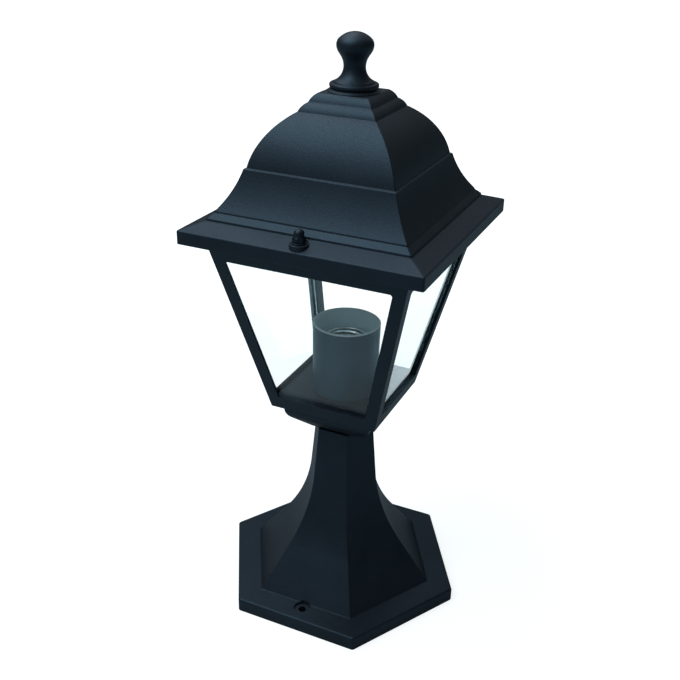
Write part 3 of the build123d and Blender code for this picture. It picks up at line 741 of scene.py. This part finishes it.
NUT_SEGMENTS = 72
THREAD_SEGMENTS = 36
SHELL_SEGMENTS = 96
SHELL_LEVELS = 48
SCREW_SEGMENTS = 32


def hexagon_radius(angle, across_flats):
    """Distance from the axis to the side of a hexagon with flats facing +X."""
    turn = math.tau / 6
    return across_flats / 2 / math.cos((angle + turn / 2) % turn - turn / 2)


def hexagon_ring(across_flats, limit, height):
    """A hexagon whose corners are turned down to a limit."""
    ring = []
    for index in range(NUT_SEGMENTS):
        angle = math.tau * index / NUT_SEGMENTS
        radius = min(hexagon_radius(angle, across_flats), limit)
        ring.append((radius * math.cos(angle), radius * math.sin(angle), height))
    return ring


def nut_size(node):
    """A nut's width across flats, and the distance from its axis to a corner."""
    low, high = span(node)
    flats = min(high[0] - low[0], high[1] - low[1])
    return flats, flats / math.sqrt(3)


def thread_rings(major, minor, pitch, bottom, top, steps=6):
    """Rings of a screw thread with a rounded ridge, run out to a point at both ends."""
    count = max(2, round((top - bottom) / pitch * steps))
    rings = []
    for level in range(count + 1):
        height = bottom + (top - bottom) * level / count
        run_out = min(1, (height - bottom) / pitch, (top - height) / pitch)
        ring = []
        for index in range(THREAD_SEGMENTS):
            angle = math.tau * index / THREAD_SEGMENTS
            ridge = 0.5 + 0.5 * math.cos(angle - math.tau * height / pitch)
            radius = minor + (major - minor) * ridge * run_out
            ring.append((radius * math.cos(angle), radius * math.sin(angle), height))
        rings.append(ring)
    return rings


def cap_nut(name, node, body):
    """A hexagon nut with chamfered corners under a turned dome."""
    low, high = span(node)
    flats, corner = nut_size(node)
    base, top = low[2], high[2]
    hexagon_top = base + NUT_HEXAGON_HEIGHT
    crown_foot = top - NUT_CROWN_HEIGHT
    rings = [
        hexagon_ring(flats, flats / 2 - NUT_UNDER_INSET, base),
        hexagon_ring(flats, corner, base + NUT_UNDER_CHAMFER),
        hexagon_ring(flats, corner, hexagon_top - NUT_TOP_CHAMFER),
        hexagon_ring(flats, flats / 2 - NUT_TOP_INSET, hexagon_top),
    ]
    turned = [
        (NUT_DOME_RADIUS + NUT_DOME_FLARE, hexagon_top + NUT_DOME_LIFT),
        (NUT_DOME_RADIUS, hexagon_top + NUT_DOME_FOOT),
    ]
    for degrees in range(0, 90, NUT_DOME_STEP):
        angle = math.radians(degrees)
        turned.append((NUT_DOME_RADIUS * math.cos(angle), crown_foot + NUT_CROWN_HEIGHT * math.sin(angle)))
    rings += [round_ring(radius, height, NUT_SEGMENTS) for radius, height in turned]
    middle = ((low[0] + high[0]) / 2, (low[1] + high[1]) / 2, 0)
    dress(make_object(name, moved(loft(rings), middle)), node, body, sharp=30)


def screw(head_radius, head_height, shaft_radius, length, slot_width):
    """A pan-head screw that points down from a head standing on height 0, with a straight slot."""
    crown_foot = (head_radius, head_height * SCREW_CROWN_FOOT)
    crown_top = (head_radius * SCREW_CROWN_FLAT, head_height)
    crown = arc(crown_foot, crown_top, head_radius * SCREW_CROWN_RADIUS, steps=6)
    shank = [(shaft_radius * SCREW_TIP_SHARE, -length), (shaft_radius, -length + SCREW_TIP)]
    shoulder = []
    if head_radius > shaft_radius:
        shoulder = [(shaft_radius, 0), (head_radius, 0, SCREW_HEAD_EDGE)]
    path = [(SCREW_CORE, -length), *shank, *shoulder, *crown, (SCREW_CORE, head_height)]
    body = make_object("screw", lathe(path, SCREW_SEGMENTS))
    slot = bmesh.new()
    bmesh.ops.create_cube(slot, size=1)
    bmesh.ops.scale(slot, vec=(slot_width, head_radius * 3, head_height), verts=slot.verts)
    bmesh.ops.translate(slot, vec=(0, 0, head_height), verts=slot.verts)
    combine(body, "DIFFERENCE", slot)
    mesh = bmesh.new()
    mesh.from_mesh(body.data)
    bpy.data.objects.remove(body)
    return mesh


def threaded_studs():
    """The two roof studs, with flat heads and rolled threads."""
    head_bottom, top = STUD_LOW[2], STUD_HIGH[2]
    head_top = head_bottom + STUD_HEAD_HEIGHT
    root = STUD_RADIUS - STUD_THREAD_DEPTH
    plain = [
        (STUD_HEAD_RADIUS - STUD_HEAD_EDGE, head_bottom),
        (STUD_HEAD_RADIUS, head_bottom + STUD_HEAD_EDGE),
        (STUD_HEAD_RADIUS, head_top),
        (STUD_RADIUS, head_top),
    ]
    forms = []
    for y in (-STUD_OFFSET, STUD_OFFSET):
        rings = [round_ring(radius, height, THREAD_SEGMENTS) for radius, height in plain]
        rings += thread_rings(STUD_RADIUS, root, STUD_PITCH, head_top + STUD_PLAIN, top - THREAD_RUN_OUT)
        rings += [round_ring(STUD_RADIUS - THREAD_CHAMFER, top, THREAD_SEGMENTS)]
        forms.append(moved(loft(rings), (0, y, 0)))
    dress(make_object("threaded_studs", *forms), "roof_studs")


def threaded_tube():
    """The hollow tube that clamps holder, cage and pillar together."""
    low, high = span("threaded_tube")
    bottom, top, radius = low[2], high[2], high[0]
    root = radius - TUBE_THREAD_DEPTH
    end = radius - THREAD_CHAMFER
    rings = [round_ring(TUBE_BORE, bottom, THREAD_SEGMENTS), round_ring(end, bottom, THREAD_SEGMENTS)]
    rings += thread_rings(radius, root, TUBE_PITCH, bottom + THREAD_RUN_OUT, top - THREAD_RUN_OUT)
    rings += [round_ring(end, top, THREAD_SEGMENTS), round_ring(TUBE_BORE, top, THREAD_SEGMENTS)]
    dress(make_object("clamp_tube", loft(rings, closed=True)), "threaded_tube")


def tube_nut():
    """The tube's nut, chamfered outside and at its bore."""
    low, high = span("tube_nut")
    flats, corner = nut_size("tube_nut")
    bottom, top = low[2], high[2]
    mouth = TUBE_NUT_BORE + TUBE_NUT_MOUTH
    rings = [
        round_ring(mouth, bottom, NUT_SEGMENTS),
        hexagon_ring(flats, flats / 2, bottom),
        hexagon_ring(flats, corner, bottom + TUBE_NUT_CHAMFER),
        hexagon_ring(flats, corner, top - TUBE_NUT_CHAMFER),
        hexagon_ring(flats, flats / 2, top),
        round_ring(mouth, top, NUT_SEGMENTS),
        round_ring(TUBE_NUT_BORE, top - TUBE_NUT_MOUTH, NUT_SEGMENTS),
        round_ring(TUBE_NUT_BORE, bottom + TUBE_NUT_MOUTH, NUT_SEGMENTS),
    ]
    dress(make_object("clamp_nut", loft(rings, closed=True)), "tube_nut")


def screw_shell():
    """Rolled lamp thread, open at both ends, with a flared lip on the insert."""
    low, high = span("screw_shell")
    bottom, top, lip = low[2], high[2], high[0]
    lip_foot = top - SHELL_LIP_HEIGHT

    def wall(radius, height):
        ring = []
        fade = min(1, (lip_foot - height) / LAMP_PITCH * LAMP_THREAD_FADE)
        for index in range(SHELL_SEGMENTS):
            angle = math.tau * index / SHELL_SEGMENTS
            wave = math.cos(math.tau * height / LAMP_PITCH - angle)
            reach = radius + LAMP_THREAD_DEPTH * wave * max(0, fade)
            ring.append((reach * math.cos(angle), reach * math.sin(angle), height))
        return ring

    heights = [bottom + (lip_foot - bottom) * level / SHELL_LEVELS for level in range(SHELL_LEVELS + 1)]
    outside = [wall(SHELL_RADIUS + SHELL_SHEET, height) for height in heights]
    inside = [wall(SHELL_RADIUS, height) for height in reversed(heights)]
    rim = [
        (lip - SHELL_EDGE, lip_foot),
        (lip, lip_foot + SHELL_EDGE),
        (lip, top - SHELL_LIP_TOP_EDGE),
        (lip - SHELL_LIP_TOP_EDGE, top),
        (SHELL_RADIUS + SHELL_SHEET, top),
        (SHELL_RADIUS + SHELL_EDGE, top - SHELL_EDGE),
    ]
    rings = outside + [round_ring(radius, height, SHELL_SEGMENTS) for radius, height in rim] + inside
    dress(make_object("rolled_shell", loft(rings, closed=True)), "screw_shell", sharp=60)


def facing_screw(name, node):
    """A slotted screw whose head faces -Y."""
    low, high = span(node)
    place = ((low[0] + high[0]) / 2, low[1] + SCREW_HEAD_HEIGHT, (low[2] + high[2]) / 2)
    tail = high[1] - place[1]
    form = screw((high[0] - low[0]) / 2, SCREW_HEAD_HEIGHT, SCREW_SHAFT_RADIUS, tail, SCREW_SLOT)
    dress(make_object(name, moved(form, place, "-Y")), node)


def clamp_screws():
    """The terminal block's six grub screws, in two rows of three."""
    low, high = span("terminal_screws")
    height = high[1] - low[1] - GRUB_POINT
    forms = []
    for x in (low[0] + GRUB_RADIUS, (low[0] + high[0]) / 2, high[0] - GRUB_RADIUS):
        for z in (low[2] + GRUB_RADIUS, high[2] - GRUB_RADIUS):
            form = screw(GRUB_RADIUS, height, GRUB_RADIUS, GRUB_POINT, GRUB_SLOT)
            forms.append(moved(form, (x, high[1] - GRUB_POINT, z), "-Y"))
    dress(make_object("clamp_screws", *forms), "terminal_screws")


def knob_screw():
    """The finial's screw, whose head faces down inside the roof."""
    low, high = span("finial_screw")
    tail = high[2] - low[2] - KNOB_HEAD_HEIGHT
    form = screw(high[0], KNOB_HEAD_HEIGHT, KNOB_SHAFT_RADIUS, tail, KNOB_SLOT)
    bmesh.ops.rotate(form, verts=form.verts, matrix=Matrix.Rotation(math.pi, 3, "X"))
    place = (0, 0, low[2] + KNOB_HEAD_HEIGHT)
    dress(make_object("knob_screw", moved(form, place)), "finial_screw", "roof")


def rim_washers():
    """The stamped washers under both cap nuts."""
    path = [
        (STUD_HOLE_RADIUS, SPOT_TOP),
        (WASHER_HIGH[0], SPOT_TOP, WASHER_UNDER_EDGE),
        (WASHER_HIGH[0], NUT_SEAT, WASHER_TOP_EDGE),
        (STUD_HOLE_RADIUS, NUT_SEAT),
    ]
    forms = [moved(lathe(path, closed=True), (0, y, 0)) for y in (-STUD_OFFSET, STUD_OFFSET)]
    dress(make_object("rim_washers", *forms), "nut_washers", "roof")


roof_casting()
pillar_casting()
cap_nut("front_dome_nut", "front_cap_nut", "front_nut")
cap_nut("rear_dome_nut", "rear_cap_nut", "rear_nut")
threaded_studs()
threaded_tube()
tube_nut()
screw_shell()
facing_screw("bracket_screw", "block_screw")
facing_screw("ground_screw", "earth_screw")
clamp_screws()
knob_screw()
rim_washers()


# Soft edges on the cage, which stays as imported

def soften(name, width, segments=2, angle=28):
    """Bevels a CAD node's sharp edges."""
    node = NODES[name]
    weld = node.modifiers.new("weld", "WELD")
    weld.merge_threshold = WELD_REACH * MM
    edge = node.modifiers.new("soft_edges", "BEVEL")
    edge.width = width * MM
    edge.segments = segments
    edge.limit_method = "ANGLE"
    edge.angle_limit = math.radians(angle)
    even = node.modifiers.new("even_shading", "WEIGHTED_NORMAL")
    even.keep_sharp = True


soften("cage", CAGE_EDGE)


# Clear panes let the light of lamps and room through

for side in ("front", "right", "rear", "left"):
    pane = NODES[f"{side}_pane"]
    pane.visible_shadow = False
    pane.visible_diffuse = False


# Camera, at the photograph's place. Angles are in degrees, places in metres and the picture in pixels.

CAMERA_AZIMUTH = 23.599
CAMERA_ELEVATION = 25.974
CAMERA_ROLL = 1.644
CAMERA_DISTANCE = 0.63612
CAMERA_AIM = Vector((0, 0, 0.2))
CAMERA_CLIP = (0.01, 50)
SENSOR_WIDTH = 36
PICTURE_SIZE = 680
FOCAL_LENGTH_PIXELS = 929.43
OPTICAL_CENTRE = (347.05, 333.26)


def outward(azimuth, elevation):
    """The direction from the lantern to a place round it. Azimuth 0 is the front, angles in degrees."""
    turn, rise = math.radians(azimuth), math.radians(elevation)
    return Vector((
        math.sin(turn) * math.cos(rise),
        -math.cos(turn) * math.cos(rise),
        math.sin(rise),
    ))


def place_camera():
    """The photograph's camera, a little rolled and with its optical centre off the picture's middle."""
    back = outward(CAMERA_AZIMUTH, CAMERA_ELEVATION)
    azimuth, roll = math.radians(CAMERA_AZIMUTH), math.radians(CAMERA_ROLL)
    level = Vector((math.cos(azimuth), math.sin(azimuth), 0))
    rise = back.cross(level)
    right = level * math.cos(roll) + rise * math.sin(roll)
    up = rise * math.cos(roll) - level * math.sin(roll)
    data = bpy.data.cameras.new("camera")
    data.sensor_width = SENSOR_WIDTH
    data.lens = FOCAL_LENGTH_PIXELS / PICTURE_SIZE * SENSOR_WIDTH
    data.shift_x = -(OPTICAL_CENTRE[0] - PICTURE_SIZE / 2) / PICTURE_SIZE
    data.shift_y = -(PICTURE_SIZE / 2 - OPTICAL_CENTRE[1]) / PICTURE_SIZE
    data.clip_start, data.clip_end = CAMERA_CLIP
    camera = bpy.data.objects.new("camera", data)
    SCENE.collection.objects.link(camera)
    turn = Matrix((right, up, back)).transposed().to_4x4()
    camera.matrix_world = Matrix.Translation(CAMERA_AIM + back * CAMERA_DISTANCE) @ turn
    SCENE.camera = camera


place_camera()


# Floor, surroundings and studio light, in metres. A brightness of 1 is white.

WHITE = (1, 1, 1)
COOL_GREY = (0.45, 0.84, 1.0)
FLOOR_REACH = 6
FLOOR_COLOUR = (0.36, 0.42, 0.45, 1)
FLOOR_NEAR_GLOW = 0.81
FLOOR_GLOW_RUN = (0.15, 0.6)
FLOOR_IN_GLASS = 0.9
FLOOR_IN_PAINT = 0.12
FLOOR_BEHIND_RUN = (0.05, 0.3)
ROOM_COLOUR = (0.8, 0.95, 1.0, 1)
ROOM_IN_GLASS = 0.8
ROOM_ON_GLOSS = 0.068
ROOM_ON_MATT = 0.24
GLASS_UNTINTED = 0.6
ANY_BOUNCE = 0.5
PAST_A_PANE = 2.5
SOFTBOX_SIDE = 0.9
SOFTBOX_DISTANCE = 1.3
SOFTBOX_AIM = Vector((0, 0, 0.25))
SOFTBOX_COLOUR = (0.92, 0.97, 1.0)


def seen_white(tree, mirrored, painted):
    """How bright and in what colour a ray finds the background: white from the camera and through clear
    glass. A mirrored share is left in glass and behind it, and a painted share in bare paint, both in the
    room's cool grey."""
    path = tree.nodes.new("ShaderNodeLightPath").outputs
    undimmed = math_node(tree, "LESS_THAN", path["Diffuse Depth"], ANY_BOUNCE)
    direct = math_node(tree, "LESS_THAN", path["Glossy Depth"], ANY_BOUNCE)
    through = math_node(tree, "MULTIPLY", path["Is Transmission Ray"], direct)
    share = math_node(tree, "MAXIMUM", through, mirrored)
    open_share = math_node(tree, "MULTIPLY", share, undimmed)
    glass = math_node(tree, "MULTIPLY", path["Is Singular Ray"], open_share)
    glossy = math_node(tree, "MULTIPLY", path["Is Glossy Ray"], undimmed)
    gloss = math_node(tree, "MULTIPLY", glossy, painted)
    seen = math_node(tree, "MAXIMUM", path["Is Camera Ray"], math_node(tree, "MAXIMUM", glass, gloss))
    behind_glass = math_node(tree, "GREATER_THAN", path["Transmission Depth"], PAST_A_PANE)
    untinted = math_node(tree, "MULTIPLY", path["Is Singular Ray"], GLASS_UNTINTED)
    tinted = math_node(tree, "SUBTRACT", 1.0, untinted)
    off_paint = math_node(tree, "MULTIPLY", path["Is Glossy Ray"], tinted)
    off_surface = math_node(tree, "MAXIMUM", behind_glass, off_paint)
    reflected = math_node(tree, "SUBTRACT", 1.0, direct)
    cool = math_node(tree, "MULTIPLY", off_surface, reflected)
    return seen, mix_colour(tree, cool, WHITE, COOL_GREY)


def make_floor():
    """A matt floor that takes the shadow, and glows white where the background is seen."""
    corners = [(x * FLOOR_REACH, y * FLOOR_REACH, 0) for x, y in ((-1, -1), (1, -1), (1, 1), (-1, 1))]
    mesh = bpy.data.meshes.new("floor")
    mesh.from_pydata(corners, [], [(0, 1, 2, 3)])
    floor = bpy.data.objects.new("floor", mesh)
    SCENE.collection.objects.link(floor)
    material = bpy.data.materials.new("floor")
    material.use_nodes = True
    tree = material.node_tree
    tree.nodes.clear()
    output = tree.nodes.new("ShaderNodeOutputMaterial")
    diffuse = tree.nodes.new("ShaderNodeBsdfDiffuse")
    diffuse.inputs["Color"].default_value = FLOOR_COLOUR
    where = coordinates(tree)
    level = spread(tree, length(tree, where), FLOOR_NEAR_GLOW, 1.0, *FLOOR_GLOW_RUN)
    behind = spread(tree, axis(tree, where, "Y"), 0.0, FLOOR_IN_GLASS, *FLOOR_BEHIND_RUN)
    painted = math_node(tree, "MULTIPLY", behind, FLOOR_IN_PAINT)
    seen, colour = seen_white(tree, behind, painted)
    glow = tree.nodes.new("ShaderNodeEmission")
    tree.links.new(colour, glow.inputs["Color"])
    tree.links.new(math_node(tree, "MULTIPLY", seen, level), glow.inputs["Strength"])
    both = tree.nodes.new("ShaderNodeAddShader")
    tree.links.new(diffuse.outputs[0], both.inputs[0])
    tree.links.new(glow.outputs[0], both.inputs[1])
    tree.links.new(both.outputs[0], output.inputs["Surface"])
    mesh.materials.append(material)


def make_world():
    """A white background, and a dim room where only its light is felt."""
    world = bpy.data.worlds.new("studio")
    SCENE.world = world
    world.use_nodes = True
    tree = world.node_tree
    tree.nodes.clear()
    output = tree.nodes.new("ShaderNodeOutputWorld")
    white = tree.nodes.new("ShaderNodeBackground")
    white.inputs["Strength"].default_value = 1.0
    room = tree.nodes.new("ShaderNodeBackground")
    room.inputs["Color"].default_value = ROOM_COLOUR
    path = tree.nodes.new("ShaderNodeLightPath").outputs
    level = spread(tree, path["Is Diffuse Ray"], ROOM_ON_GLOSS, ROOM_ON_MATT)
    tree.links.new(level, room.inputs["Strength"])
    mix = tree.nodes.new("ShaderNodeMixShader")
    seen, colour = seen_white(tree, ROOM_IN_GLASS, 0.0)
    tree.links.new(colour, white.inputs["Color"])
    tree.links.new(seen, mix.inputs["Fac"])
    tree.links.new(room.outputs[0], mix.inputs[1])
    tree.links.new(white.outputs[0], mix.inputs[2])
    tree.links.new(mix.outputs[0], output.inputs["Surface"])


def softbox(name, azimuth, elevation, brightness):
    """A square softbox that faces the lantern. Its brightness is its radiance."""
    away = outward(azimuth, elevation)
    data = bpy.data.lights.new(name, "AREA")
    data.shape = "SQUARE"
    data.size = SOFTBOX_SIDE
    data.energy = brightness * math.pi * SOFTBOX_SIDE ** 2
    data.color = SOFTBOX_COLOUR
    light = bpy.data.objects.new(name, data)
    SCENE.collection.objects.link(light)
    light.location = SOFTBOX_AIM + away * SOFTBOX_DISTANCE
    light.rotation_euler = (-away).to_track_quat("-Z", "Y").to_euler()


make_floor()
make_world()
softbox("key_softbox", azimuth=-45, elevation=62, brightness=3.7)
softbox("rear_softbox", azimuth=-135, elevation=62, brightness=1.9)
softbox("side_softbox", azimuth=-90, elevation=62, brightness=0.7)
softbox("front_fill", azimuth=-24, elevation=38, brightness=0.75)
softbox("rear_fill", azimuth=180, elevation=32, brightness=0.19)
